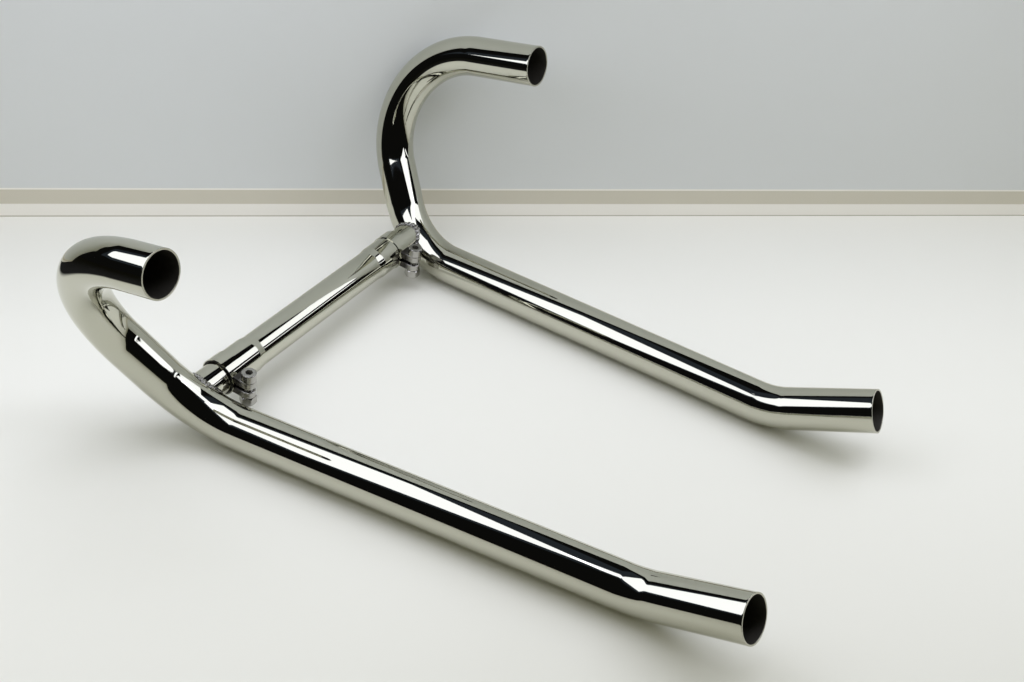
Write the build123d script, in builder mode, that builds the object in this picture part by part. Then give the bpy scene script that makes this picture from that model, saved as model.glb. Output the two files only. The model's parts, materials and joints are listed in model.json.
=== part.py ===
"""A pair of bent exhaust header pipes joined by a clamped crossover tube.

The pair lies on its two long straight runs. +X is to the right-hand header, +Y points
forward to the bends and +Z is up. The origin is at the middle of the footprint.
"""

from build123d import *
from math import cos, pi, radians, sin, sqrt
import os

# Header pipe stock and its route, from the rear end to the inlet
pipe_od = 38.0
pipe_wall = 1.5
bend_radius = 86.0
tail_straight = 77.0
tail_bend_angle = 22.5
long_straight = 337.0
front_bend_angle = 58.0
link_straight = 39.0
inlet_bend_angle = 113.5
left_inlet_straight = 31.0
right_inlet_straight = 67.0
rim_chamfer = 0.3

# Stance of the pair
half_spacing = 157.0
toe_angle = 4.0
lean_angle = 21.0

# Crossover stubs, welded into the inboard side of each front bend
stub_station = 55.3
stub_od = 29.5
stub_wall = 1.5
stub_showing = 16.74
stub_depth_in_bell = 30.0
weld_leg = 2.5

# Crossover tube with an expanded bell at each end
tube_od = 31.0
tube_wall = 1.5
bell_wall = 1.5
bell_clearance = 0.2
bell_length = 38.5
taper_length = 7.0
taper_blend = 12.0
relief_slot_width = 2.0
relief_slot_length = 12.0
relief_slot_angles = (120.0, 300.0)

# Clamp band and its two lugs
band_thickness = 0.8
band_width = 15.0
band_clearance = 0.05
clamp_tilt = 6.0
clamp_gap = 3.5
lug_width = 13.0
lug_height = 6.75
lug_fillet = 0.8
screw_radius_from_axis = 27.0
lug_hole_d = 8.4

# Socket-head screw and its nut
screw_d = 8.0
screw_head_d = 13.0
screw_head_height = 8.0
screw_head_fillet = 0.8
socket_across_flats = 6.0
socket_depth = 4.0
screw_tip_past_nut = 1.0
nut_across_flats = 13.0
nut_height = 8.0
nut_thread_clearance = 0.05
nut_chamfer = 0.9

# Worked-out sizes
pipe_r = pipe_od / 2
stub_r = stub_od / 2
stub_bore_r = stub_r - stub_wall
bell_bore_r = stub_r + bell_clearance
bell_r = bell_bore_r + bell_wall
band_bore_r = bell_r + band_clearance
band_r = band_bore_r + band_thickness
station_angle = stub_station / bend_radius

SIDES = (("left", -1, left_inlet_straight), ("right", 1, right_inlet_straight))


def header_plane(side, start_y):
    """The leaning plane of one header: x runs forward, y rises and leans outward."""
    toe, lean = radians(toe_angle), radians(lean_angle)
    forward = Vector(side * sin(toe), cos(toe), 0)
    outward = Vector(side * cos(toe), -sin(toe), 0)
    rise = Vector(0, 0, cos(lean)) + outward * sin(lean)
    start = (side * half_spacing, start_y, pipe_r)
    return Plane(origin=start, x_dir=forward, z_dir=forward.cross(rise))


def header_route(plane, inlet_straight):
    """Centreline of one header, from the rear end to the inlet end."""
    turn = radians(tail_bend_angle)
    bend_start = (-long_straight - bend_radius * sin(turn), bend_radius * (1 - cos(turn)))
    rear_end = (bend_start[0] - tail_straight * cos(turn), bend_start[1] + tail_straight * sin(turn))
    with BuildLine(plane) as route:
        tail = Line(rear_end, bend_start)
        tail_bend = JernArc(tail @ 1, tail % 1, bend_radius, tail_bend_angle)
        run = Line(tail_bend @ 1, (0, 0))
        front_bend = JernArc(run @ 1, run % 1, bend_radius, front_bend_angle)
        link = Line(front_bend @ 1, (front_bend @ 1) + (front_bend % 1) * link_straight)
        inlet_bend = JernArc(link @ 1, link % 1, bend_radius, inlet_bend_angle)
        Line(inlet_bend @ 1, (inlet_bend @ 1) + (inlet_bend % 1) * inlet_straight)
    return route.wires()[0]


def solid_along(wire, radius):
    """A round bar along a header's centreline."""
    with BuildPart() as bar:
        with BuildSketch(Plane(wire ^ 0)):
            Circle(radius)
        sweep(path=wire)
    return bar.part


def footprint_start_y():
    """Y of the front bend's start that puts the origin at the middle of the footprint."""
    wire = header_route(header_plane(-1, 0), left_inlet_straight)
    rear_slope = (wire % 0).Y
    front = wire.bounding_box().max.Y + pipe_r
    rear = (wire @ 0).Y - pipe_r * sqrt(1 - rear_slope**2)
    return -(front + rear) / 2


start_y = footprint_start_y()
front_arc_point = (bend_radius * sin(station_angle), bend_radius * (1 - cos(station_angle)))
right_weld = header_plane(1, start_y).from_local_coords(front_arc_point)
crossover_centre = Vector(0, right_weld.Y, right_weld.Z)
bell_end = right_weld.X - pipe_r - stub_showing

# Clamp directions: out from the tube's axis to the screw, and up along the screw
tilt = radians(clamp_tilt)
clamp_out = Vector(0, -cos(tilt), -sin(tilt))
clamp_up = Vector(0, -sin(tilt), cos(tilt))


def clamp_plane(x, height):
    """Plane across the screw's axis at a height above the clamp's gap; y points to the tube."""
    origin = crossover_centre + Vector(x, 0, 0) + clamp_out * screw_radius_from_axis
    return Plane(origin=origin + clamp_up * height, x_dir=(1, 0, 0), z_dir=clamp_up)


# Crossover tube
with BuildPart() as crossover_tube:
    taper_end = bell_end - bell_length
    taper_start = taper_end - taper_length
    tube_r = tube_od / 2
    tube_bore_r = tube_r - tube_wall
    with BuildSketch(Plane(origin=crossover_centre, x_dir=(1, 0, 0), z_dir=(0, -1, 0))) as wall:
        with BuildLine():
            Polyline(
                (0, tube_r), (taper_start, tube_r), (taper_end, bell_r), (bell_end, bell_r),
                (bell_end, bell_bore_r), (taper_end, bell_bore_r), (taper_start, tube_bore_r),
                (0, tube_bore_r), close=True,
            )
        make_face()
        taper_corners = wall.vertices().filter_by_position(
            Axis.X, taper_start - taper_length / 4, taper_end + taper_length / 4
        )
        fillet(taper_corners, taper_blend)
        mirror(about=Plane.YZ)
    revolve(axis=Axis(crossover_centre, (1, 0, 0)))
    for bell_side in (-1, 1):
        for angle in relief_slot_angles:
            radial = Vector(0, -cos(radians(angle)), sin(radians(angle)))
            slot_origin = crossover_centre + Vector(bell_side * bell_end, 0, 0)
            with BuildSketch(Plane(origin=slot_origin, x_dir=(1, 0, 0), z_dir=radial)):
                SlotOverall(2 * relief_slot_length, relief_slot_width)
            extrude(amount=bell_r + bell_wall, mode=Mode.SUBTRACT)
crossover_tube.part.label = "crossover_tube"

pieces = [crossover_tube.part]

for side_name, side, inlet_straight in SIDES:
    plane = header_plane(side, start_y)
    route = header_route(plane, inlet_straight)
    weld_point = plane.from_local_coords(front_arc_point)
    inboard = Vector(-side, 0, 0)
    stub_plane = Plane(origin=weld_point, x_dir=(0, 1, 0), z_dir=inboard)
    header_core = solid_along(route, pipe_r)

    # Header pipe, open at both ends, with a port into the stub
    with BuildPart() as header_pipe:
        with BuildSketch(Plane(route ^ 0)):
            Circle(pipe_r)
            Circle(pipe_r - pipe_wall, mode=Mode.SUBTRACT)
        sweep(path=route)
        rims = header_pipe.faces().filter_by(GeomType.PLANE).edges()
        chamfer(rims, rim_chamfer)
        with BuildSketch(stub_plane):
            Circle(stub_bore_r)
        extrude(amount=pipe_od, mode=Mode.SUBTRACT)
    header_pipe.part.label = f"{side_name}_header_pipe"

    # Crossover stub, cut to the curve of the header pipe
    stub_length = pipe_r + stub_showing + stub_depth_in_bell
    with BuildPart() as crossover_stub:
        with BuildSketch(stub_plane):
            Circle(stub_r)
            Circle(stub_bore_r, mode=Mode.SUBTRACT)
        extrude(amount=stub_length)
        stub_rim = crossover_stub.faces().sort_by(Axis(weld_point, inboard))[-1]
        chamfer(stub_rim.edges(), rim_chamfer)
        add(header_core, mode=Mode.SUBTRACT)
    crossover_stub.part.label = f"{side_name}_crossover_stub"

    # Weld bead around the stub's foot
    with BuildPart() as stub_weld:
        with BuildSketch(stub_plane):
            Circle(stub_r + weld_leg)
        extrude(amount=pipe_od)
        add(solid_along(route, pipe_r + weld_leg), mode=Mode.INTERSECT)
        add(header_core, mode=Mode.SUBTRACT)
        with BuildSketch(stub_plane):
            Circle(stub_r)
        extrude(amount=pipe_od, mode=Mode.SUBTRACT)
    stub_weld.part.label = f"{side_name}_stub_weld"

    # Clamp band around the bell, open at the gap between its lugs
    clamp_x = side * (bell_end - band_width / 2)
    band_origin = crossover_centre + Vector(clamp_x - band_width / 2, 0, 0)
    with BuildPart() as clamp_band:
        with BuildSketch(Plane(origin=band_origin, x_dir=clamp_out, z_dir=(1, 0, 0))):
            Circle(band_r)
            Circle(band_bore_r, mode=Mode.SUBTRACT)
            gap_align = (Align.MIN, Align.CENTER)
            Rectangle(band_r + band_thickness, clamp_gap, align=gap_align, mode=Mode.SUBTRACT)
        extrude(amount=band_width)
    clamp_band.part.label = f"{side_name}_clamp_band"
    pieces += [header_pipe.part, crossover_stub.part, stub_weld.part, clamp_band.part]

    # Two round-ended lugs on the band, one on each side of the gap
    for lug_name, lug_foot in (("upper", clamp_gap / 2), ("lower", -clamp_gap / 2 - lug_height)):
        with BuildPart() as clamp_lug:
            with BuildSketch(clamp_plane(clamp_x, lug_foot)):
                Circle(lug_width / 2)
                Rectangle(lug_width, screw_radius_from_axis, align=(Align.CENTER, Align.MIN))
            extrude(amount=lug_height)
            lug_ends = clamp_lug.faces().filter_by(Axis(crossover_centre, clamp_up))
            fillet(lug_ends.edges(), lug_fillet)
            with BuildSketch(clamp_plane(clamp_x, lug_foot)):
                Circle(lug_hole_d / 2)
            extrude(amount=lug_height, mode=Mode.SUBTRACT)
            with BuildSketch(Plane(origin=band_origin, x_dir=clamp_out, z_dir=(1, 0, 0))):
                Circle(band_r)
            extrude(amount=band_width, mode=Mode.SUBTRACT)
        clamp_lug.part.label = f"{side_name}_{lug_name}_clamp_lug"
        pieces.append(clamp_lug.part)

    # Socket-head screw through both lugs
    grip = clamp_gap / 2 + lug_height
    shank_length = 2 * grip + nut_height + screw_tip_past_nut
    with BuildPart() as clamp_screw:
        with BuildSketch(clamp_plane(clamp_x, grip)):
            Circle(screw_head_d / 2)
        extrude(amount=screw_head_height)
        crown = clamp_screw.edges().sort_by(Axis(crossover_centre, clamp_up))[-1]
        fillet(crown, screw_head_fillet)
        with BuildSketch(clamp_plane(clamp_x, grip + screw_head_height)):
            RegularPolygon(socket_across_flats / 2, 6, major_radius=False)
        extrude(amount=-socket_depth, mode=Mode.SUBTRACT)
        with BuildSketch(clamp_plane(clamp_x, grip)):
            Circle(screw_d / 2)
        extrude(amount=-shank_length)
        tip = clamp_screw.faces().sort_by(Axis(crossover_centre, clamp_up))[0]
        chamfer(tip.edges(), screw_tip_past_nut / 2)
    clamp_screw.part.label = f"{side_name}_clamp_screw"

    # Hexagon nut under the lower lug, its corners chamfered at both faces
    nut_plane = clamp_plane(clamp_x, -grip)
    with BuildPart() as clamp_nut:
        with BuildSketch(nut_plane):
            Circle(nut_across_flats / 2 / cos(pi / 6))
        extrude(amount=-nut_height)
        chamfer(clamp_nut.edges().filter_by(GeomType.CIRCLE), nut_chamfer)
        with BuildSketch(nut_plane):
            RegularPolygon(nut_across_flats / 2, 6, major_radius=False)
        extrude(amount=-nut_height, mode=Mode.INTERSECT)
        with BuildSketch(nut_plane):
            Circle(screw_d / 2 + nut_thread_clearance)
        extrude(amount=-nut_height, mode=Mode.SUBTRACT)
    clamp_nut.part.label = f"{side_name}_clamp_nut"
    pieces += [clamp_screw.part, clamp_nut.part]

os.makedirs("parts", exist_ok=True)
for piece in pieces:
    export_step(piece, f"parts/{piece.label}.step")
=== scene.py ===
"""Looks of a pair of chromed exhaust header pipes joined by a clamped crossover tube."""

import bmesh
import bpy
import json
from bpy.props import FloatProperty, FloatVectorProperty, IntProperty, PointerProperty
from bpy.types import Operator, Panel, PropertyGroup
from math import cos, pi, radians, sin, tan, tau
from mathutils import Matrix, Quaternion, Vector


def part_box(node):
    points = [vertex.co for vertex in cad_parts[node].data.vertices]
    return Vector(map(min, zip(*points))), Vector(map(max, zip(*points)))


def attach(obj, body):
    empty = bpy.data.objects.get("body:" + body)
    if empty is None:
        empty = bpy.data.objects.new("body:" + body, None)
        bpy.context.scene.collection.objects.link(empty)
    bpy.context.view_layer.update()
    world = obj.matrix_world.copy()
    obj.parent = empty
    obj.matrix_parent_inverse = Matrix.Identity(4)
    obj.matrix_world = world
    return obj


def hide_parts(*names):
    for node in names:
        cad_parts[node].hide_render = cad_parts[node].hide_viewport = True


bl_info = {
    "name": "Exhaust Header Looks",
    "version": (1, 0, 0),
    "blender": (4, 5, 0),
    "location": "3D View > Sidebar > Header",
    "description": "Fine pipes, welds, screws, finishes and stage for a pair of exhaust headers",
    "category": "Object",
}

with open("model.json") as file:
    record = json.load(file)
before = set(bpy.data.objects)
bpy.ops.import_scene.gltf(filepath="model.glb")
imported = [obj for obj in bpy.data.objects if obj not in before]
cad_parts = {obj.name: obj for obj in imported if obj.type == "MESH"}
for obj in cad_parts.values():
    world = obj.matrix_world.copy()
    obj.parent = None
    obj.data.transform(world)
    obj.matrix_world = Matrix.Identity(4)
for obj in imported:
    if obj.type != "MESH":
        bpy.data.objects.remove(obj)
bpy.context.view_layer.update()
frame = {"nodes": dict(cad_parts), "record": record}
mounts = {mount["name"]: mount for mount in frame["record"]["mounts"]}

SIDES = ("left", "right")
WALL_FACING = Vector((0.7934, 0.6088, 0))
WALL_ALONG = Vector((0.6088, -0.7934, 0))
WALL_DISTANCE = 0.3520
SOFTBOX_COLOUR = (0.96, 0.98, 1.10)
GLOW_COLOUR = (0.55, 0.7, 1.0)
SAME_POINT = 1e-6


def distance_property(name, description, default):
    """A size in metres."""
    return FloatProperty(
        name=name, description=description, default=default, unit="LENGTH", subtype="DISTANCE")


def angle_property(name, description, degrees):
    """An angle, given in degrees."""
    return FloatProperty(
        name=name, description=description, default=radians(degrees), subtype="ANGLE")


def colour_property(name, description, default):
    """A colour of a finish."""
    return FloatVectorProperty(
        name=name, description=description, default=default, subtype="COLOR")


class HeaderSizes(PropertyGroup):
    """Sizes of the two header pipes, as the maker bends them."""

    pipe_wall: distance_property("Pipe Wall", "Wall of the header pipe", 0.0015)
    bend_radius: distance_property("Bend Radius", "Centreline radius of every bend", 0.086)
    long_straight: distance_property("Long Straight", "Straight run on the table", 0.337)
    link_straight: distance_property(
        "Link Straight", "Straight between front bend and inlet bend", 0.039)
    tail_bend: angle_property("Tail Bend", "Turn between the tail and the long straight", 22.5)
    front_bend: angle_property("Front Bend", "Turn upwards at the front", 58)
    inlet_bend: angle_property("Inlet Bend", "Turn back over the pipe", 113.5)
    pinch: FloatProperty(
        name="Pinch", description="Share by which the bender draws a bend in", default=0.008,
        subtype="FACTOR")
    pinch_run: IntProperty(
        name="Pinch Run", description="Degrees over which a bend is drawn in", default=5)
    rows: IntProperty(
        name="Rows", description="Rings of faces along one pipe", default=560)
    columns: IntProperty(
        name="Columns", description="Faces around one pipe", default=96)


class WeldSizes(PropertyGroup):
    """Sizes of the stub, its port in the pipe and the weld bead around it."""

    stub_radius: distance_property("Stub Radius", "Outer radius of the stub", 0.01475)
    stub_wall: distance_property(
        "Stub Wall", "Wall of the stub, and rim of the port under it", 0.0015)
    leg: distance_property("Leg", "How far the bead reaches out along stub and pipe", 0.0025)
    ripples: IntProperty(
        name="Ripples", description="Ripples around one bead", default=26)
    ripple_depth: distance_property(
        "Ripple Depth", "Depth of the valley between two ripples", 0.0009)
    rows: IntProperty(
        name="Rows", description="Rings of faces around one bead", default=736)
    columns: IntProperty(
        name="Columns", description="Faces around the bead's cross-section", default=28)


class TubeSizes(PropertyGroup):
    """Sizes of the crossover tube and its two expanded bells."""

    tube_radius: distance_property("Tube Radius", "Outer radius of the tube", 0.0155)
    bell_radius: distance_property("Bell Radius", "Outer radius of a bell", 0.01645)
    wall: distance_property("Wall", "Wall of the tube and its bells", 0.0015)
    bell_length: distance_property("Bell Length", "Length of a bell", 0.0385)
    taper_length: distance_property("Taper Length", "Length of the step from tube to bell", 0.007)
    taper_blend: distance_property(
        "Taper Blend", "Radius that rounds both ends of the step", 0.012)
    slot_width: distance_property("Slot Width", "Width of a relief slot", 0.002)
    slot_length: distance_property("Slot Length", "Length of a relief slot", 0.012)
    slot_turn: angle_property("Slot Turn", "Turn of the slots about the tube, from upright", 120)
    edge: distance_property("Edge", "Rounding of the cut edges", 0.00018)
    columns: IntProperty(
        name="Columns", description="Faces around the tube", default=144)


class ScrewSizes(PropertyGroup):
    """Sizes of a clamp screw with its thread, and where it stands beside the tube."""

    clamp_tilt: angle_property("Clamp Tilt", "Lean of the screw away from upright", 6)
    from_tube: distance_property(
        "From Tube", "Distance from the tube's axis to the screw's", 0.027)
    grip: distance_property(
        "Grip", "Height of a lug's outer face above the clamp's middle", 0.0085)
    reach: distance_property("Reach", "How far the screw reaches below the clamp's middle", 0.0175)
    radius: distance_property("Radius", "Outer radius of the thread", 0.004)
    pitch: distance_property("Pitch", "Rise of the thread in one turn", 0.00125)
    thread_depth: distance_property("Thread Depth", "Depth of the thread's groove", 0.0007)
    head_radius: distance_property("Head Radius", "Radius of the screw head", 0.0065)
    head_height: distance_property("Head Height", "Height of the screw head", 0.008)
    crown: distance_property("Crown", "Rounding of the head's upper edge", 0.0008)
    socket: distance_property("Socket", "Width of the hexagon socket across its flats", 0.006)
    socket_depth: distance_property("Socket Depth", "Depth of the hexagon socket", 0.004)
    columns: IntProperty(name="Columns", description="Faces around the screw", default=64)


class FinishColours(PropertyGroup):
    """Colours of the bare metals."""

    chrome: colour_property("Chrome", "Polished plate", (0.56, 0.55, 0.455))
    bore: colour_property("Bore", "Unplated inside of the pipes", (0.10, 0.098, 0.09))
    weld: colour_property("Weld", "Polished weld metal", (0.44, 0.43, 0.40))
    steel: colour_property("Steel", "Bright screws and nuts", (0.42, 0.41, 0.38))


class StageLook(PropertyGroup):
    """Table, wall, lamps and camera."""

    floor: colour_property("Floor", "Table colour", (0.80, 0.80, 0.765))
    wall: colour_property("Wall", "Wall colour", (0.73, 0.755, 0.78))
    skirting: colour_property("Skirting", "Upper band of the skirting", (0.65, 0.62, 0.54))
    moulding: colour_property("Moulding", "Lower band of the skirting", (0.94, 0.92, 0.89))
    wall_height: distance_property("Wall Height", "Height of the wall behind the table", 0.55)
    softbox: FloatProperty(
        name="Softbox", description="Brightness of the lamps that polished metal shows",
        default=1.95)
    room_light: FloatProperty(
        name="Room Light", description="Even light of the room on matt paint", default=0.30)
    dark_room: FloatProperty(
        name="Dark Room", description="Brightness of the room in polished metal", default=0.006)
    lens: FloatProperty(
        name="Lens", description="Camera lens in millimetres", default=44.59, unit="CAMERA",
        subtype="DISTANCE_CAMERA")
    camera_place: FloatVectorProperty(
        name="Camera Place", description="Where the camera stands",
        default=(-0.75906, -0.40073, 0.71232), subtype="TRANSLATION", unit="LENGTH")
    camera_heading: angle_property("Camera Heading", "Heading of the view from +X", 28.05)
    camera_dip: angle_property("Camera Dip", "How far the view points down", 36.03)
    camera_roll: angle_property("Camera Roll", "Turn of the camera about its view", 4.79)


def both_ways(operation):
    """An operator and its reflected form, each of which adds a Math node."""
    return (
        lambda self, other: self.graph.math(operation, self, other),
        lambda self, other: self.graph.math(operation, other, self))


class Value:
    """A node's output that Python's operators turn into Math nodes."""

    __add__, __radd__ = both_ways("ADD")
    __sub__, __rsub__ = both_ways("SUBTRACT")
    __mul__, __rmul__ = both_ways("MULTIPLY")
    __truediv__, __rtruediv__ = both_ways("DIVIDE")
    __pow__, __rpow__ = both_ways("POWER")

    def __init__(self, graph, socket):
        self.graph = graph
        self.socket = socket

    def cos(self):
        return self.graph.math("COSINE", self)

    def sin(self):
        return self.graph.math("SINE", self)

    def fraction(self):
        return self.graph.math("FRACT", self)

    def size(self):
        return self.graph.math("ABSOLUTE", self)

    def under(self, limit):
        """True where this is less than a limit."""
        return self.graph.value(
            "FunctionNodeCompare", {"operation": "LESS_THAN"}, {"A": self, "B": limit})

    def between(self, low, high):
        """Rises smoothly from 0 at low to 1 at high."""
        settings = {"interpolation_type": "SMOOTHSTEP"}
        return self.graph.value("ShaderNodeMapRange", settings, {"Value": self, 1: low, 2: high})


class Graph:
    """Adds nodes to a tree: settings first, then the values or links of the sockets."""

    def __init__(self, tree):
        self.tree = tree

    def node(self, kind, settings=None, sockets=None):
        made = self.tree.nodes.new(kind)
        for name, setting in (settings or {}).items():
            setattr(made, name, setting)
        for name, term in (sockets or {}).items():
            self.feed(made.inputs[name], term)
        return made

    def value(self, kind, settings=None, sockets=None, output=0):
        return Value(self, self.node(kind, settings, sockets).outputs[output])

    def feed(self, socket, term):
        if isinstance(term, Value):
            term = term.socket
        if isinstance(term, bpy.types.NodeSocket):
            self.tree.links.new(term, socket)
        else:
            socket.default_value = term

    def math(self, operation, *terms):
        return self.value("ShaderNodeMath", {"operation": operation}, dict(enumerate(terms)))

    def vector(self, operation, first, second, output="Vector"):
        return self.value(
            "ShaderNodeVectorMath", {"operation": operation}, {0: first, 1: second}, output)

    def scaled(self, vector, factor):
        settings = {"operation": "SCALE"}
        return self.value("ShaderNodeVectorMath", settings, {0: vector, "Scale": factor})

    def parts(self, vector):
        node = self.node("ShaderNodeSeparateXYZ", None, {0: vector})
        return [Value(self, socket) for socket in node.outputs]

    def join_xyz(self, x, y, z):
        return self.value("ShaderNodeCombineXYZ", None, {0: x, 1: y, 2: z})

    def mix(self, factor, first, second):
        """Blends two colours, or colour links, by a factor."""
        made = self.node("ShaderNodeMix", {"data_type": "RGBA"})
        self.feed(made.inputs["Factor"], factor)
        colours = [socket for socket in made.inputs if socket.type == "RGBA"]
        for socket, term in zip(colours, (first, second)):
            linked = isinstance(term, (Value, bpy.types.NodeSocket))
            self.feed(socket, term if linked else (*term, 1))
        return Value(self, next(socket for socket in made.outputs if socket.type == "RGBA"))

    def noise(self, place, scale, detail=2.0, roughness=0.5):
        sockets = {"Vector": place, "Scale": scale, "Detail": detail, "Roughness": roughness}
        return self.value("ShaderNodeTexNoise", None, sockets)

    def grain(self, place, scales, detail=2.0, roughness=0.5):
        """Noise with a scale of its own along each axis."""
        stretched = self.vector("MULTIPLY", place, scales)
        return self.noise(stretched, 1, detail, roughness)


def tinted(colour, red, green, blue):
    """A colour times a share for each of its channels."""
    return tuple(channel * share for channel, share in zip(colour, (red, green, blue)))


def shaded(colour, share):
    """A colour, or any three numbers, times one share."""
    return tinted(colour, share, share, share)


def new_material(name, metallic):
    """Makes a Principled material; gives its graph, its shader and its Object coordinates."""
    made = bpy.data.materials.new(name)
    made.use_nodes = True
    graph = Graph(made.node_tree)
    shader = made.node_tree.nodes["Principled BSDF"]
    shader.inputs["Metallic"].default_value = metallic
    return graph, shader, graph.value("ShaderNodeTexCoord", output="Object")


def finish(graph, shader, colour, roughness, height, strength, distance):
    """Feeds a shader what varies over a surface: its colour, its roughness and its bump."""
    bump = graph.value(
        "ShaderNodeBump", None, {"Strength": strength, "Distance": distance, "Height": height})
    for name, term in (("Base Color", colour), ("Roughness", roughness), ("Normal", bump)):
        graph.feed(shader.inputs[name], term)


def polished_material(name, colour, place_attribute=None, haze=0.03, grain=(900, 900, 40)):
    """Mirror plate with faint wipe marks, pin-head pits and a very slight waviness."""
    graph, shader, place = new_material(name, 1.0)
    if place_attribute:
        settings = {"attribute_name": place_attribute}
        place = graph.value("ShaderNodeAttribute", settings, None, "Vector")
    smudge = graph.noise(place, scale=18, detail=4, roughness=0.6).between(0.52, 0.72)
    drawn = graph.grain(place, shaded(grain, 0.25))
    wipe = graph.grain(place, grain, roughness=0.6).between(0.62, 0.80)
    pit = graph.value("ShaderNodeTexVoronoi", None, {"Vector": place, "Scale": 150})
    speck = 1 - pit.between(0.02, 0.04)
    tone = graph.mix(graph.noise(place, scale=6), colour, tinted(colour, 0.97, 0.99, 1.03))
    base = graph.mix(speck * 0.6, tone, shaded(colour, 0.55))
    roughness = haze + smudge * 0.045 + wipe * 0.035 + speck * 0.25
    wave = graph.noise(place, scale=42)
    height = wave * 1.5 + wipe * 0.02 + drawn * 0.12 - speck * 0.15
    finish(graph, shader, base, roughness, height, strength=0.14, distance=0.0003)


def bore_material(name, colour):
    """Drawn, unplated steel inside a pipe, dulled by a brown-grey film."""
    graph, shader, place = new_material(name, 0.85)
    film = graph.noise(place, scale=60, detail=5, roughness=0.65)
    streak = graph.grain(place, (400, 30, 400), detail=3)
    base = graph.mix(film, colour, tinted(colour, 0.8, 0.72, 0.6))
    roughness = 0.42 + film * 0.22 + streak * 0.1
    height = film + streak * 0.5
    finish(graph, shader, base, roughness, height, strength=0.3, distance=0.0002)


def rim_material(name, colour):
    """Sawn and deburred end face of a pipe, with rings left by the tool."""
    graph, shader, place = new_material(name, 1.0)
    marks = graph.grain(place, (300, 2200, 300), detail=3, roughness=0.6)
    base = graph.mix(marks, shaded(colour, 0.8), colour)
    roughness = 0.16 + marks * 0.16
    finish(graph, shader, base, roughness, marks, strength=0.3, distance=0.0001)


def painted_shade_edge_material(name, colour):
    """Sawn, unplated end of the bells, darkened with painted shade for the gap between bell and
    stub.
    """
    graph, shader, place = new_material(name, 0.9)
    marks = graph.grain(place, (300, 2400, 2400), detail=3, roughness=0.6)
    base = graph.mix(marks, shaded(colour, 0.35), colour)
    roughness = 0.35 + marks * 0.25
    finish(graph, shader, base, roughness, marks, strength=0.3, distance=0.0001)


def weld_material(name, colour):
    """Weld metal polished with the pipe, with straw and blue tints in its pits and painted shade
    in the low spots of its lumps.
    """
    graph, shader, place = new_material(name, 1.0)
    lump = graph.noise(place, scale=330, detail=3, roughness=0.6)
    pit = graph.noise(place, scale=900).between(0.58, 0.70)
    # Painted shade: the bead goes near black where its lumps are low, where shade falls.
    painted_shade = 1 - lump.between(0.38, 0.50)
    straw, blue = (0.55, 0.42, 0.26), (0.26, 0.29, 0.38)
    metal = graph.mix(pit * 0.75, colour, graph.mix(lump.between(0.45, 0.6), straw, blue))
    base = graph.mix(painted_shade * 0.8, metal, (0.06, 0.055, 0.05))
    roughness = 0.04 + lump * 0.06 + pit * 0.2
    height = lump - pit * 0.35
    finish(graph, shader, base, roughness, height, strength=1.0, distance=0.0010)


def lug_material(name, colour, middle):
    """Plate of the clamp lugs, with painted shade that darkens the corner towards the band."""
    graph, shader, place = new_material(name, 1.0)
    _, away, above = graph.parts(graph.vector("SUBTRACT", place, middle))
    from_tube = (away * away + above * above) ** 0.5
    patchy = graph.noise(place, scale=260, detail=3, roughness=0.6)
    # Painted shade: the lug goes near black close to the band, where shade falls between lug and
    # tube.
    painted_shade = 1 - (from_tube + (patchy - 0.5) * 0.006).between(0.0215, 0.0285)
    brushed = graph.grain(place, (300, 1800, 1800), roughness=0.6)
    base = graph.mix(painted_shade * 0.95, colour, (0.05, 0.046, 0.042))
    roughness = 0.07 + brushed * 0.08 + painted_shade * 0.2
    height = brushed * 0.4 + patchy
    finish(graph, shader, base, roughness, height, strength=0.5, distance=0.0003)


def fastener_material(name, colour):
    """Turned bright steel with fine tool rings across the screw's axis."""
    graph, shader, place = new_material(name, 1.0)
    rings = graph.grain(place, (500, 500, 4500), roughness=0.6)
    grime = graph.noise(place, scale=220, detail=3, roughness=0.6).between(0.55, 0.75)
    base = graph.mix(grime * 0.6, colour, shaded(colour, 0.6))
    roughness = 0.10 + rings * 0.12 + grime * 0.15
    finish(graph, shader, base, roughness, rings, strength=0.15, distance=0.0001)


def tube_middle():
    """Middle of the crossover tube."""
    low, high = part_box("crossover_tube")
    return (Vector(low) + Vector(high)) / 2


def material(name):
    """A finished material by its name."""
    return bpy.data.materials[name]


def dress_node(node, name):
    """Gives a carried-over node one material on all its faces."""
    mesh = frame["nodes"][node].data
    mesh.materials.clear()
    mesh.materials.append(material(name))


def link_object(name, data):
    """A new object at the origin, in the scene's collection."""
    made = bpy.data.objects.new(name, data)
    bpy.context.scene.collection.objects.link(made)
    return made


def plain_result(source, name):
    """The evaluated result of a geometry tree as a plain mesh object, without empty slots."""
    evaluated = source.evaluated_get(bpy.context.evaluated_depsgraph_get())
    mesh = bpy.data.meshes.new_from_object(evaluated)
    if mesh.materials[0] is None:
        mesh.materials.pop(index=0)
    made = link_object(name, mesh)
    bpy.data.objects.remove(source)
    return made


def header_directions(side):
    """Rear end, forward direction and side axis of one header's plane."""
    tail = mounts[f"{side}_tail"]
    tail_out = Vector(tail["axis"]).normalized()
    inlet_out = Vector(mounts[f"{side}_inlet"]["axis"]).normalized()
    half_length = tail["dims"]["length_mm"] / 2000
    rear = Vector(tail["pos_m"]) + tail_out * half_length
    return rear, -tail_out, tail_out.cross(inlet_out).normalized()


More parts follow.
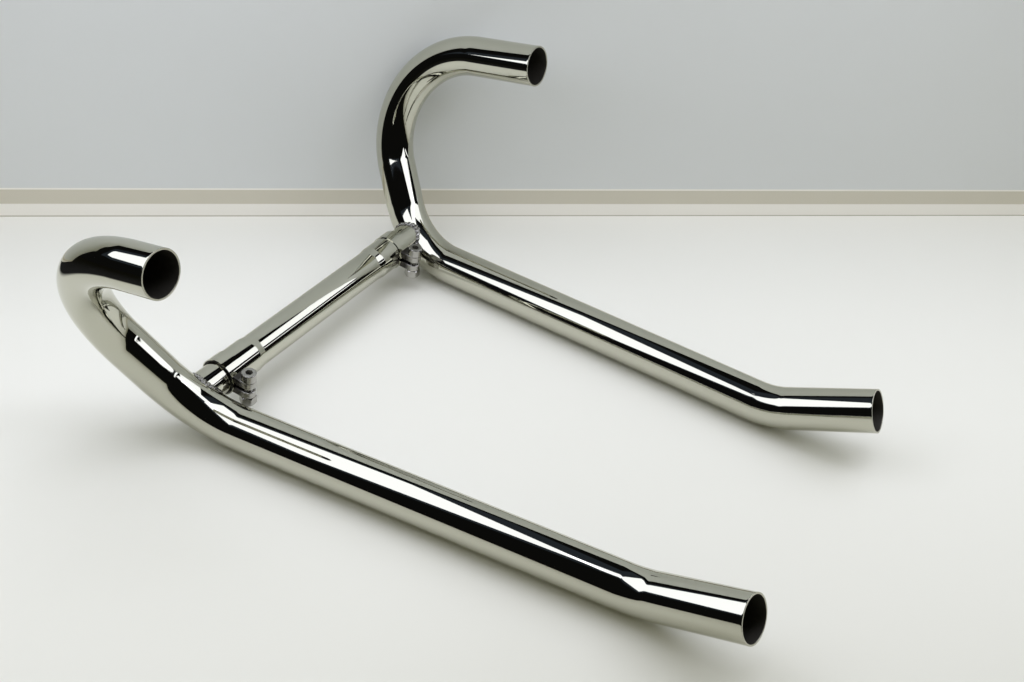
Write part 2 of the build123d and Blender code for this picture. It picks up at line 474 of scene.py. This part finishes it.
def header_route(side):
    """Centreline points of one header with the pinch at each, and the route's side axis."""
    sizes = bpy.context.scene.header_sizes
    place, heading, sideways = header_directions(side)
    tail_length = mounts[f"{side}_tail"]["dims"]["length_mm"] / 1000
    inlet_length = mounts[f"{side}_inlet"]["dims"]["length_mm"] / 1000
    inlet_out = Vector(mounts[f"{side}_inlet"]["axis"])
    turn_sign = turning_sign(heading, sideways, inlet_out, sizes)
    stretches = (
        (tail_length, sizes.tail_bend), (sizes.long_straight, sizes.front_bend),
        (sizes.link_straight, sizes.inlet_bend), (inlet_length, 0.0))
    points = [(place.copy(), 1.0)]
    for straight, bend in stretches:
        place = place + heading * straight
        points.append((place.copy(), 1.0))
        steps = round(bend / radians(1))
        for number in range(steps):
            turn = bend / steps
            chord = 2 * sizes.bend_radius * sin(turn / 2)
            place = place + Quaternion(sideways, turn_sign * turn / 2) @ heading * chord
            heading = Quaternion(sideways, turn_sign * turn) @ heading
            from_end = min(number + 1, steps - number - 1, sizes.pinch_run) / sizes.pinch_run
            drawn_in = sizes.pinch * (1 - cos(pi * from_end)) / 2
            points.append((place.copy(), 1.0 - drawn_in))
    return points, sideways


def turning_sign(heading, sideways, inlet_out, sizes):
    """Which way the bends turn about the side axis, so that the route ends at the inlet."""
    whole = sizes.tail_bend + sizes.front_bend + sizes.inlet_bend
    turned = {sign: Quaternion(sideways, sign * whole) @ heading for sign in (-1, 1)}
    return max(turned, key=lambda sign: turned[sign].dot(inlet_out))


def route_curve(name, points):
    """A curve object of straight stretches through places, each with its own radius factor."""
    curve = bpy.data.curves.new(name, "CURVE")
    curve.dimensions = "3D"
    spline = curve.splines.new("POLY")
    spline.points.add(len(points) - 1)
    for point, (place, radius) in zip(spline.points, points):
        point.co = (*place, 1)
        point.radius = radius
    return link_object(name, curve)


def route_length(points):
    """Length of the stretches between points."""
    return sum((b - a).length for (a, _), (b, _) in zip(points, points[1:]))


def new_tree(name, inputs):
    """The graph of a geometry tree with named inputs, and its input sockets by name."""
    tree = bpy.data.node_groups.new(name, "GeometryNodeTree")
    tree.interface.new_socket("Geometry", in_out="INPUT", socket_type="NodeSocketGeometry")
    tree.interface.new_socket("Geometry", in_out="OUTPUT", socket_type="NodeSocketGeometry")
    for label, kind in inputs.items():
        tree.interface.new_socket(label, in_out="INPUT", socket_type=f"NodeSocket{kind}")
    graph = Graph(tree)
    entry = graph.node("NodeGroupInput")
    sockets = {socket.name: Value(graph, socket) for socket in entry.outputs if socket.name}
    return graph, sockets


def close_tree(graph, geometry, metal, others=()):
    """Ends a tree with Realize Instances and Set Material; others are selections to dress."""
    smooth = graph.value("GeometryNodeSetShadeSmooth", None, {0: geometry})
    dressed = graph.value("GeometryNodeRealizeInstances", None, {0: smooth})
    for selection, choice in ((True, metal), *others):
        dressed = graph.value(
            "GeometryNodeSetMaterial", None,
            {"Geometry": dressed, "Selection": selection, "Material": choice})
    graph.node("NodeGroupOutput", None, {0: dressed})


def apply_tree(source, tree, values, name):
    """Runs a geometry tree on an object and returns the result as a plain mesh object."""
    modifier = source.modifiers.new(tree.name, "NODES")
    modifier.node_group = tree
    for item in tree.interface.items_tree:
        if item.in_out == "INPUT" and item.name in values:
            modifier[item.identifier] = values[item.name]
    return plain_result(source, name)


def unit_grid(graph, rows, columns):
    """A grid to wrap into a surface, and its two coordinates, each from -0.5 to 0.5."""
    grid = graph.value(
        "GeometryNodeMeshGrid", None,
        {"Size X": 1.0, "Size Y": 1.0, "Vertices X": rows, "Vertices Y": columns})
    first, second, _ = graph.parts(graph.value("GeometryNodeInputPosition"))
    return grid, first, second


def put(graph, mesh, place):
    """Puts each point of a mesh at its new place."""
    return graph.value("GeometryNodeSetPosition", None, {"Geometry": mesh, "Position": place})


def weld_seams(graph, mesh):
    """Joins the points that lie on each other along seams and at poles."""
    sockets = {"Geometry": mesh, "Distance": SAME_POINT}
    return graph.value("GeometryNodeMergeByDistance", None, sockets)


def spoke(graph, first, second, angle, radius):
    """A vector as long as radius, at an angle from the first axis towards the second."""
    along_first = graph.scaled(first, angle.cos() * radius)
    return graph.vector("ADD", along_first, graph.scaled(second, angle.sin() * radius))


def ring_surface(graph, given, rows, station, radius):
    """A grid wrapped around the route; station and radius are functions of 0 to 1 along it."""
    grid, along, around = unit_grid(graph, rows, given["Columns"])
    angle = (around + 0.5) * tau
    distance = station(along + 0.5)
    sample = graph.node("GeometryNodeSampleCurve", {"mode": "LENGTH"}, {
        "Curves": given["Geometry"], "Value": graph.value("GeometryNodeInputRadius"),
        "Length": distance})
    upward = graph.vector("CROSS_PRODUCT", given["Side Axis"], sample.outputs["Tangent"])
    local_radius = radius(along + 0.5) * Value(graph, sample.outputs["Value"])
    outwards = spoke(graph, upward, given["Side Axis"], angle, local_radius)
    place = graph.vector("ADD", sample.outputs["Position"], outwards)
    straight = graph.join_xyz(angle.cos() * local_radius, angle.sin() * local_radius, distance)
    stored = graph.value(
        "GeometryNodeStoreNamedAttribute", {"data_type": "FLOAT_VECTOR", "domain": "POINT"},
        {"Geometry": grid, "Name": "straightened", "Value": straight})
    return put(graph, stored, place)


def header_tree():
    """Geometry tree of one header pipe: outer wall, bore and two deburred end faces."""
    graph, given = new_tree("header_pipe_tree", {
        "Side Axis": "Vector", "Radius": "Float", "Wall": "Float", "Length": "Float",
        "Rows": "Int", "Columns": "Int", "Plate": "Material", "Bore": "Material",
        "End Face": "Material"})
    radius, wall, length = given["Radius"], given["Wall"], given["Length"]
    half_wall = wall / 2
    middle = radius - half_wall
    lip = wall * 0.2
    lip_rows = 9
    squareness = 0.45

    def square_round(share):
        """Cosine and sine of a lip's turn, squared off to leave a flat face."""
        turn = share * pi
        across = turn.cos()
        sign = graph.math("SIGN", across)
        return sign * across.size() ** squareness, turn.sin() ** squareness

    def surface(rows, station, ring_radius, flip=False):
        skin = ring_surface(graph, given, rows, station, ring_radius)
        return graph.value("GeometryNodeFlipFaces", None, {0: skin}) if flip else skin

    def along_wall(share):
        return lip + share * (length - lip * 2)

    def lip_radius(share):
        return middle + square_round(share)[0] * half_wall

    outer = surface(given["Rows"], along_wall, lambda share: radius)
    inner = surface(given["Rows"] / 2, along_wall, lambda share: radius - wall, True)
    front = surface(
        lip_rows, lambda share: length - lip + square_round(share)[1] * lip, lip_radius)
    rear = surface(
        lip_rows, lambda share: lip - square_round(share)[1] * lip, lip_radius, True)
    joined = graph.node("GeometryNodeJoinGeometry")
    for skin in (rear, front, inner, outer):
        graph.feed(joined.inputs[0], skin)
    straightened = graph.value(
        "GeometryNodeInputNamedAttribute", {"data_type": "FLOAT_VECTOR"},
        {"Name": "straightened"})
    x, y, station = graph.parts(straightened)
    in_bore = (x * x + y * y).under(middle * middle)
    from_middle = (station - length / 2).size()
    at_end = (length / 2 - lip).under(from_middle - SAME_POINT)
    close_tree(graph, weld_seams(graph, joined.outputs[0]), given["Plate"], (
        (in_bore, given["Bore"]), (at_end, given["End Face"])))
    return graph.tree


def bead_tree():
    """Geometry tree of a rippled bead where a round stub meets the surface that it gets."""
    graph, given = new_tree("weld_bead_tree", {
        "Centre": "Vector", "Direction": "Vector", "Stub Radius": "Float", "Leg": "Float",
        "Ripples": "Float", "Ripple Depth": "Float", "Rows": "Int", "Columns": "Int",
        "Metal": "Material"})
    leg, direction = given["Leg"], given["Direction"]
    ripple_bow = 9
    valley_sharpness = 1.4
    lump_share = 0.8
    halfway, fade = pi / 4, 0.4
    grid, around, across = unit_grid(graph, given["Rows"], given["Columns"])
    angle = (around + 0.5) * tau
    turn = across * tau + halfway
    from_crown = across.size() * tau
    ripple_phase = (around + 0.5) * given["Ripples"] + across * across * ripple_bow
    valley = 1 - (ripple_phase * pi).sin().size()
    lump = graph.noise(graph.join_xyz(angle.cos(), angle.sin(), across * 4), scale=5.0)
    crest = leg - given["Ripple Depth"] * (valley ** valley_sharpness + lump * lump_share)
    hidden = leg * 0.2
    shown = 1 - from_crown.between(halfway, halfway + fade)
    reach = hidden + (crest - hidden) * shown
    radius = given["Stub Radius"] + turn.cos() * reach
    around_stub = graph.join_xyz(0.0, angle.cos() * radius, angle.sin() * radius)
    ray = graph.node("GeometryNodeRaycast", None, {
        "Target Geometry": given["Geometry"], "Ray Direction": direction, "Ray Length": 1.0,
        "Source Position": graph.vector("ADD", given["Centre"], around_stub)})
    facing = graph.vector("DOT_PRODUCT", ray.outputs["Hit Normal"], direction, "Value")
    out_of_pipe = graph.scaled(direction, turn.sin() * reach / facing)
    place = graph.vector("ADD", ray.outputs["Hit Position"], out_of_pipe)
    close_tree(graph, weld_seams(graph, put(graph, grid, place)), given["Metal"])
    return graph.tree


def turned_tree():
    """Geometry tree that turns a profile about an axis and cuts a thread where it is asked."""
    graph, given = new_tree("turned_piece_tree", {
        "Centre": "Vector", "Axis": "Vector", "Outward": "Vector", "Rows": "Int",
        "Columns": "Int", "Pitch": "Float", "Thread Depth": "Float", "Thread End": "Float",
        "Metal": "Material", "Cut Face": "Material"})
    axis, outward = given["Axis"], given["Outward"]
    grid, along, around = unit_grid(graph, given["Rows"], given["Columns"])
    row = (along + 0.5) * (given["Rows"] - 1) + 0.5
    sample = graph.node(
        "GeometryNodeSampleIndex", {"data_type": "FLOAT_VECTOR", "domain": "POINT"},
        {"Geometry": given["Geometry"], "Value": graph.value("GeometryNodeInputPosition"),
         "Index": graph.math("FLOOR", row)})
    x, profile_radius, _ = graph.parts(sample.outputs["Value"])
    phase = (x / given["Pitch"] + around).fraction()
    flank = (1 - (phase * 2 - 1).size()).between(0.1, 0.8)
    groove = given["Thread Depth"] * (1 - flank) * x.under(given["Thread End"])
    radius = graph.math("MAXIMUM", profile_radius - groove, 0.0)
    sideways = graph.vector("CROSS_PRODUCT", axis, outward)
    outwards = spoke(graph, outward, sideways, (around + 0.5) * tau, radius)
    along_axis = graph.vector("ADD", given["Centre"], graph.scaled(axis, x))
    turned = put(graph, grid, graph.vector("ADD", along_axis, outwards))
    lean = graph.vector("DOT_PRODUCT", graph.value("GeometryNodeInputNormal"), axis, "Value")
    steep = 0.4
    end_faces = (1 - lean.size()).under(steep)
    close_tree(graph, weld_seams(graph, turned), given["Metal"], (
        (end_faces, given["Cut Face"]),))
    return graph.tree


def rounded_profile(corners):
    """A closed flat outline of x, radius and rounding, its corners cut into short steps."""
    steps = 8
    longest_support = 0.0003
    points = []
    count = len(corners)
    for number, (x, r, rounding) in enumerate(corners):
        corner = Vector((x, r))
        if not rounding:
            points.append(corner)
            continue
        back = Vector(corners[number - 1][:2]) - corner
        ahead = Vector(corners[(number + 1) % count][:2]) - corner
        back.normalize()
        ahead.normalize()
        half = back.angle(ahead) / 2
        reach = rounding / tan(half)
        middle = corner + (back + ahead).normalized() * (rounding / sin(half))
        start, end = corner + back * reach, corner + ahead * reach
        support = min(reach, longest_support)
        points.append(start + back * support)
        for step in range(steps + 1):
            outwards = (start - middle).slerp(end - middle, step / steps)
            points.append(middle + outwards.normalized() * rounding)
        points.append(end + ahead * support)
    return [((point.x, point.y, 0), 1.0) for point in points + points[:1]]


def tube_profile(sizes, bell_end):
    """Outline of the crossover tube's wall, from end to end and back through its bore."""
    taper_end = bell_end - sizes.bell_length
    taper_start = taper_end - sizes.taper_length
    tube, bell, wall = sizes.tube_radius, sizes.bell_radius, sizes.wall
    half = (
        (taper_start, tube, sizes.taper_blend), (taper_end, bell, sizes.taper_blend),
        (bell_end, bell, sizes.edge), (bell_end, bell - wall, sizes.edge),
        (taper_end, bell - wall, sizes.taper_blend),
        (taper_start, tube - wall, sizes.taper_blend))
    mirrored = tuple((-x, r, rounding) for x, r, rounding in reversed(half))
    return rounded_profile(half + mirrored)


def screw_profile(sizes):
    """Outline of a clamp screw from its tip to its crown, with close steps for the thread."""
    bevel = 0.0005
    edge = 0.0001
    steps_per_turn = 10
    tip, grip, top = -sizes.reach, sizes.grip, sizes.grip + sizes.head_height
    start = tip + 2 * bevel
    threaded = grip - bevel - start
    steps = round(threaded / sizes.pitch * steps_per_turn)
    shank = [(start + threaded * step / steps, sizes.radius, 0) for step in range(steps + 1)]
    return rounded_profile((
        (tip, 0, 0), (tip, sizes.radius - bevel, edge), (tip + bevel, sizes.radius, edge), *shank,
        (grip, sizes.radius, edge), (grip, sizes.head_radius, 2 * edge),
        (top, sizes.head_radius, sizes.crown), (top, 0, 0)))[:-1]


def cut_with(piece, cutter):
    """Cuts a closed mesh out of a piece."""
    cut = piece.modifiers.new("cut", "BOOLEAN")
    cut.operation = "DIFFERENCE"
    cut.solver = "EXACT"
    cut.object = cutter
    evaluated = piece.evaluated_get(bpy.context.evaluated_depsgraph_get())
    cut_mesh = bpy.data.meshes.new_from_object(evaluated)
    piece.modifiers.clear()
    piece.data = cut_mesh
    bpy.data.objects.remove(cutter)


def bar_object(name, start, end, radius, metal, segments=96, spin=0.0):
    """A closed bar between two points, round or with flats, turned about itself by spin."""
    mesh = bpy.data.meshes.new(name)
    edit = bmesh.new()
    span = end - start
    bmesh.ops.create_cone(
        edit, cap_ends=True, segments=segments, radius1=radius, radius2=radius,
        depth=span.length)
    turn = Quaternion(span.normalized(), spin) @ span.to_track_quat("Z", "Y")
    for vertex in edit.verts:
        vertex.co = turn @ vertex.co + (start + end) / 2
    edit.to_mesh(mesh)
    edit.free()
    mesh.materials.append(material(metal))
    return link_object(name, mesh)


def cut_port(pipe, side):
    """Cuts the port under the stub through the pipe's inboard wall."""
    sizes = bpy.context.scene.weld_sizes
    low, high = (Vector(corner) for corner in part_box(f"{side}_crossover_stub"))
    middle = (low + high) / 2
    foot = max((low.x, high.x), key=abs)
    reach = 0.013
    bore = sizes.stub_radius - sizes.stub_wall
    start, end = (Vector((foot + way * reach, middle.y, middle.z)) for way in (-1, 1))
    cut_with(pipe, bar_object(f"{side}_port", start, end, bore, "bore_steel"))


def cut_relief_slots(tube, middle, bell_end):
    """Saws two opposite relief slots into the open end of each bell."""
    sizes = bpy.context.scene.tube_sizes
    blade_height = 0.05
    blade = Matrix.Diagonal((2 * sizes.slot_length, sizes.slot_width, blade_height, 1))
    turn = Matrix.Rotation(sizes.slot_turn, 4, "X")
    mesh = bpy.data.meshes.new("relief_slots")
    edit = bmesh.new()
    for end in (-bell_end, bell_end):
        place = Matrix.Translation(middle + Vector((end, 0, 0)))
        bmesh.ops.create_cube(edit, size=1, matrix=place @ turn @ blade)
    edit.to_mesh(mesh)
    edit.free()
    mesh.materials.append(material("cut_edge_painted_shade"))
    cut_with(tube, link_object("relief_slots", mesh))


class HEADER_OT_finishes(Operator):
    """Makes the materials and gives them to the carried-over parts"""

    bl_idname = "header.finishes"
    bl_label = "Finishes"

    def execute(self, context):
        colours = context.scene.finish_colours
        polished_material("pipe_plate", colours.chrome, "straightened")
        polished_material("tube_plate", colours.chrome, grain=(40, 900, 900))
        polished_material("clamp_plate", colours.chrome, haze=0.035, grain=(40, 900, 900))
        bore_material("bore_steel", colours.bore)
        rim_material("rim_steel", colours.chrome)
        # The cut edges get painted shade: the bore colour darkened further.
        painted_shade_edge_material("cut_edge_painted_shade", shaded(colours.bore, 0.6))
        weld_material("weld_metal", colours.weld)
        fastener_material("screw_steel", colours.steel)
        lug_material("lug_steel", colours.steel, tube_middle())
        carried_over = {
            "crossover_stub": "tube_plate", "clamp_band": "clamp_plate",
            "upper_clamp_lug": "lug_steel", "lower_clamp_lug": "lug_steel",
            "clamp_nut": "screw_steel"}
        for side in SIDES:
            for node, metal in carried_over.items():
                dress_node(f"{side}_{node}", metal)
        return {"FINISHED"}


class HEADER_OT_pipes(Operator):
    """Sweeps the two header pipes along their routes"""

    bl_idname = "header.pipes"
    bl_label = "Header Pipes"

    def execute(self, context):
        sizes = context.scene.header_sizes
        tree = header_tree()
        for side in SIDES:
            points, sideways = header_route(side)
            source = route_curve(f"{side}_route", points)
            values = {
                "Side Axis": sideways, "Radius": mounts[f"{side}_tail"]["dims"]["r_mm"] / 1000,
                "Wall": sizes.pipe_wall, "Length": route_length(points), "Rows": sizes.rows,
                "Columns": sizes.columns + 1, "Plate": material("pipe_plate"),
                "Bore": material("bore_steel"), "End Face": material("rim_steel")}
            pipe = apply_tree(source, tree, values, f"{side}_fine_pipe")
            cut_port(pipe, side)
            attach(pipe, "root")
            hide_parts(f"{side}_header_pipe")
        return {"FINISHED"}


class HEADER_OT_welds(Operator):
    """Lays a rippled weld bead around the foot of each crossover stub"""

    bl_idname = "header.welds"
    bl_label = "Stub Welds"

    def execute(self, context):
        sizes = context.scene.weld_sizes
        tree = bead_tree()
        middle = tube_middle()
        for side, direction in (("left", (-1, 0, 0)), ("right", (1, 0, 0))):
            pipe = bpy.data.objects[f"{side}_fine_pipe"]
            source = link_object(f"{side}_bead_seat", pipe.data.copy())
            values = {
                "Centre": middle, "Direction": direction, "Stub Radius": sizes.stub_radius,
                "Leg": sizes.leg, "Ripples": float(sizes.ripples),
                "Ripple Depth": sizes.ripple_depth, "Rows": sizes.rows + 1,
                "Columns": sizes.columns + 1, "Metal": material("weld_metal")}
            bead = apply_tree(source, tree, values, f"{side}_weld_bead")
            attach(bead, "root")
            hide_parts(f"{side}_stub_weld")
        return {"FINISHED"}


class HEADER_OT_tube(Operator):
    """Turns the crossover tube with its bells and cuts their relief slots"""

    bl_idname = "header.tube"
    bl_label = "Crossover Tube"

    def execute(self, context):
        sizes = context.scene.tube_sizes
        middle = tube_middle()
        bell_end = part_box("crossover_tube")[1][0] - middle.x
        outline = tube_profile(sizes, bell_end)
        source = route_curve("tube_outline", outline)
        values = {
            "Centre": middle, "Axis": (1, 0, 0), "Outward": (0, 1, 0), "Rows": len(outline),
            "Columns": sizes.columns + 1, "Pitch": 1.0, "Thread Depth": 0.0,
            "Metal": material("tube_plate"), "Cut Face": material("cut_edge_painted_shade")}
        tube = apply_tree(source, turned_tree(), values, "fine_crossover_tube")
        cut_relief_slots(tube, middle, bell_end)
        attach(tube, "root")
        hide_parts("crossover_tube")
        return {"FINISHED"}


class HEADER_OT_screws(Operator):
    """Turns the two clamp screws, cuts their threads and sinks their sockets"""

    bl_idname = "header.screws"
    bl_label = "Clamp Screws"

    def execute(self, context):
        sizes = context.scene.screw_sizes
        flats = 6
        above_head = 0.002
        under_head = 0.001
        sharp_from = radians(35)
        tree = turned_tree()
        outward = Vector((0, -cos(sizes.clamp_tilt), -sin(sizes.clamp_tilt)))
        upward = Vector((0, -sin(sizes.clamp_tilt), cos(sizes.clamp_tilt)))
        outline = screw_profile(sizes)
        socket_radius = sizes.socket / 2 / cos(pi / flats)
        for side in SIDES:
            low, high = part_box(f"{side}_clamp_screw")
            centre = tube_middle() + outward * sizes.from_tube
            centre.x = (low[0] + high[0]) / 2
            values = {
                "Centre": centre, "Axis": upward, "Outward": outward, "Rows": len(outline),
                "Columns": sizes.columns + 1, "Pitch": sizes.pitch,
                "Thread Depth": sizes.thread_depth, "Thread End": sizes.grip - under_head,
                "Metal": material("screw_steel"), "Cut Face": material("screw_steel")}
            source = route_curve(f"{side}_screw_outline", outline)
            screw = apply_tree(source, tree, values, f"{side}_fine_clamp_screw")
            top = centre + upward * (sizes.grip + sizes.head_height)
            key = bar_object(
                f"{side}_socket", top - upward * sizes.socket_depth, top + upward * above_head,
                socket_radius, "screw_steel", flats, pi / flats)
            cut_with(screw, key)
            screw.data.set_sharp_from_angle(angle=sharp_from)
            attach(screw, "root")
            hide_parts(f"{side}_clamp_screw")
        return {"FINISHED"}


class HEADER_OT_stage(Operator):
    """Sets the table, the wall, the lamps and the camera"""

    bl_idname = "header.stage"
    bl_label = "Stage"

    def execute(self, context):
        look = context.scene.stage_look
        table_paint(look)
        wall_paint(look)
        make_floor()
        make_wall(look)
        make_lamps(look)
        make_world(context.scene, look)
        make_camera(look)
        context.scene.view_settings.view_transform = "Standard"
        return {"FINISHED"}


def stage_sheet(name, corners, paint):
    """One flat sheet of the stage."""
    mesh = bpy.data.meshes.new(name)
    mesh.from_pydata(corners, [], [tuple(range(len(corners)))])
    mesh.materials.append(material(paint))
    sheet = link_object(name, mesh)


def second_shader(graph, shader, factor, kind, sockets=None):
    """Mixes another shader over a shader node by a factor, up to the material's output."""
    other = graph.node(kind, None, sockets)
    mixed = graph.node("ShaderNodeMixShader", None, {0: factor})
    graph.feed(mixed.inputs[1], shader.outputs[0])
    graph.feed(mixed.inputs[2], other.outputs[0])
    graph.feed(graph.tree.nodes["Material Output"].inputs["Surface"], mixed.outputs[0])
    return mixed


def clear_from_behind(graph, shader):
    """Lets a sheet of the stage be looked through from its back."""
    behind = graph.value("ShaderNodeNewGeometry", output="Backfacing")
    second_shader(graph, shader, behind, "ShaderNodeBsdfTransparent")


def table_paint(look):
    """Matt pale table top. Beyond the table's edges polished metal sees a dark room."""
    graph, shader, place = new_material("table_paint", 0.0)
    mottle = graph.noise(place, scale=3, detail=3)
    colour = graph.mix(mottle, look.floor, shaded(look.floor, 0.97))
    graph.feed(shader.inputs["Base Color"], colour)
    shader.inputs["Roughness"].default_value = 0.5
    x, y, _ = graph.parts(place)
    to_wall = x * WALL_FACING.x + y * WALL_FACING.y
    along = x * WALL_ALONG.x + y * WALL_ALONG.y
    on_table = to_wall.between(-0.80, -0.74) * along.between(-0.63, -0.57)
    glossy = graph.value("ShaderNodeLightPath", output="Is Glossy Ray")
    dark = {"Color": (0.02, 0.02, 0.022, 1)}
    top = second_shader(graph, shader, glossy * (1 - on_table), "ShaderNodeBsdfDiffuse", dark)
    clear_from_behind(graph, top)


def wall_paint(look):
    """Matt pale wall with a low skirting in bands and a painted highlight along the skirting's top
    edge, seen from its front only.
    """
    graph, shader, place = new_material("wall_paint", 0.0)
    mottle = graph.noise(place, scale=3, detail=3)
    height = graph.parts(place)[2]
    skirting = 1 - height.between(0.0325, 0.0335)
    moulding = 1 - height.between(0.0150, 0.0160)
    joint = 1 - height.between(0.0008, 0.0016)
    # Painted highlight: a pale line along the top edge of the skirting.
    painted_ledge_highlight = height.between(0.0322, 0.0326) * (1 - height.between(0.0340, 0.0346))
    colour = graph.mix(mottle, look.wall, shaded(look.wall, 0.96))
    for band, paint in (
            (skirting, look.skirting), (moulding, look.moulding),
            (joint, shaded(look.skirting, 0.8)), (painted_ledge_highlight, look.moulding)):
        colour = graph.mix(band, colour, paint)
    graph.feed(shader.inputs["Base Color"], colour)
    shader.inputs["Roughness"].default_value = 0.6
    clear_from_behind(graph, shader)


def make_floor():
    """The table top, which reaches far beyond the view."""
    reach = 6.0
    corners = [(-reach, -reach, 0), (reach, -reach, 0), (reach, reach, 0), (-reach, reach, 0)]
    stage_sheet("table", corners, "table_paint")


def make_wall(look):
    """The wall, which stands across the view behind the part."""
    foot = WALL_FACING * WALL_DISTANCE
    start, end = (foot + WALL_ALONG * reach for reach in (-1.1, 1.6))
    rise = Vector((0, 0, look.wall_height))
    stage_sheet("wall", [start, end, end + rise, start + rise], "wall_paint")


def softbox(name, centre, across, upward, size, brightness, colour=SOFTBOX_COLOUR):
    """One rectangular softbox by its centre and the directions of its two edges."""
    lamp = bpy.data.lights.new(name, "AREA")
    lamp.shape = "RECTANGLE"
    lamp.size, lamp.size_y = size
    lamp.energy = brightness * pi * size[0] * size[1]
    lamp.color = colour
    made = link_object(name, lamp)
    across = Vector(across).normalized()
    back = across.cross(Vector(upward)).normalized()
    made.matrix_world = Matrix((across, back.cross(across), back)).transposed().to_4x4()
    made.location = centre
    made.visible_camera = False
    return made


def make_lamps(look):
    """The lamps, placed where their reflections lie along the pipes as they should."""
    glow_brightness = 0.04
    softbox(
        "left_softbox", (-0.352, 0.339, 0.563), (-0.714, 0.694, -0.093), (-0.7, -0.708, 0.097),
        (0.721, 0.434), look.softbox * 0.95)
    softbox(
        "right_softbox", (0.807, -0.556, 0.793), (-0.939, -0.277, 0.205),
        (0.318, -0.924, 0.211), (1.187, 1.174), look.softbox * 0.93)
    softbox(
        "far_window", (2.399, -2.905, 1.293), (0.815, 0.579, -0.035), (-0.476, 0.702, 0.53),
        (2.694, 0.257), look.softbox)
    softbox(
        "hanging_strip", (-0.031, -0.199, 0.816), (0.786, 0.539, 0.304),
        (-0.591, 0.507, 0.628), (0.195, 1.26), look.softbox)
    softbox(
        "softbox_glow", (-0.352, 0.339, 0.60), (-0.714, 0.694, -0.093), (-0.7, -0.708, 0.097),
        (1.15, 0.60), glow_brightness, GLOW_COLOUR)
    table_light = softbox(
        "table_light", (0.04, 0.408, 0.9), (0.609, -0.793, 0), (0.793, 0.609, 0), (0.9, 0.4),
        look.softbox * 1.2)
    table_light.visible_glossy = False


def make_world(scene, look):
    """Even room light, warm on matt paint, from a room that polished metal shows as dark."""
    world = bpy.data.worlds.new("room")
    scene.world = world
    world.use_nodes = True
    graph = Graph(world.node_tree)
    background = world.node_tree.nodes["Background"]
    rays = graph.node("ShaderNodeLightPath")
    glossy = Value(graph, rays.outputs["Is Glossy Ray"])
    plain, warm = (0.95, 0.96, 0.97), (1, 0.97, 0.61)
    graph.feed(
        background.inputs["Color"], graph.mix(rays.outputs["Is Diffuse Ray"], plain, warm))
    strength = (1 - glossy) * look.room_light + look.dark_room
    graph.feed(background.inputs["Strength"], strength)


def make_camera(look):
    """The camera, by its place, heading, dip and roll."""
    data = bpy.data.cameras.new("camera")
    data.lens = look.lens
    camera = link_object("camera", data)
    camera.location = look.camera_place
    heading, dip = look.camera_heading, look.camera_dip
    view = Vector((cos(heading) * cos(dip), sin(heading) * cos(dip), -sin(dip)))
    camera.rotation_mode = "QUATERNION"
    roll = Quaternion((0, 0, 1), look.camera_roll)
    camera.rotation_quaternion = view.to_track_quat("-Z", "Y") @ roll
    bpy.context.scene.camera = camera


class HEADER_PT_panel(Panel):
    """Lists the header's operators and settings"""

    bl_idname = "HEADER_PT_panel"
    bl_label = "Exhaust Header"
    bl_space_type = "VIEW_3D"
    bl_region_type = "UI"
    bl_category = "Header"

    def draw(self, context):
        for step in STEPS:
            self.layout.operator(step.bl_idname)
        for group in (name for name, _ in GROUPS):
            settings = getattr(context.scene, group)
            for name in settings.__annotations__:
                self.layout.prop(settings, name)


GROUPS = (
    ("header_sizes", HeaderSizes), ("weld_sizes", WeldSizes), ("tube_sizes", TubeSizes),
    ("screw_sizes", ScrewSizes), ("finish_colours", FinishColours), ("stage_look", StageLook))
STEPS = (
    HEADER_OT_finishes, HEADER_OT_pipes, HEADER_OT_welds, HEADER_OT_tube, HEADER_OT_screws,
    HEADER_OT_stage)


def register():
    for name, group in GROUPS:
        bpy.utils.register_class(group)
        setattr(bpy.types.Scene, name, PointerProperty(type=group))
    for step in STEPS:
        bpy.utils.register_class(step)
    bpy.utils.register_class(HEADER_PT_panel)


def unregister():
    bpy.utils.unregister_class(HEADER_PT_panel)
    for step in reversed(STEPS):
        bpy.utils.unregister_class(step)
    for name, group in reversed(GROUPS):
        delattr(bpy.types.Scene, name)
        bpy.utils.unregister_class(group)


def main():
    register()
    for step in STEPS:
        module, name = step.bl_idname.split(".")
        getattr(getattr(bpy.ops, module), name)()


if __name__ == "__main__":
    main()
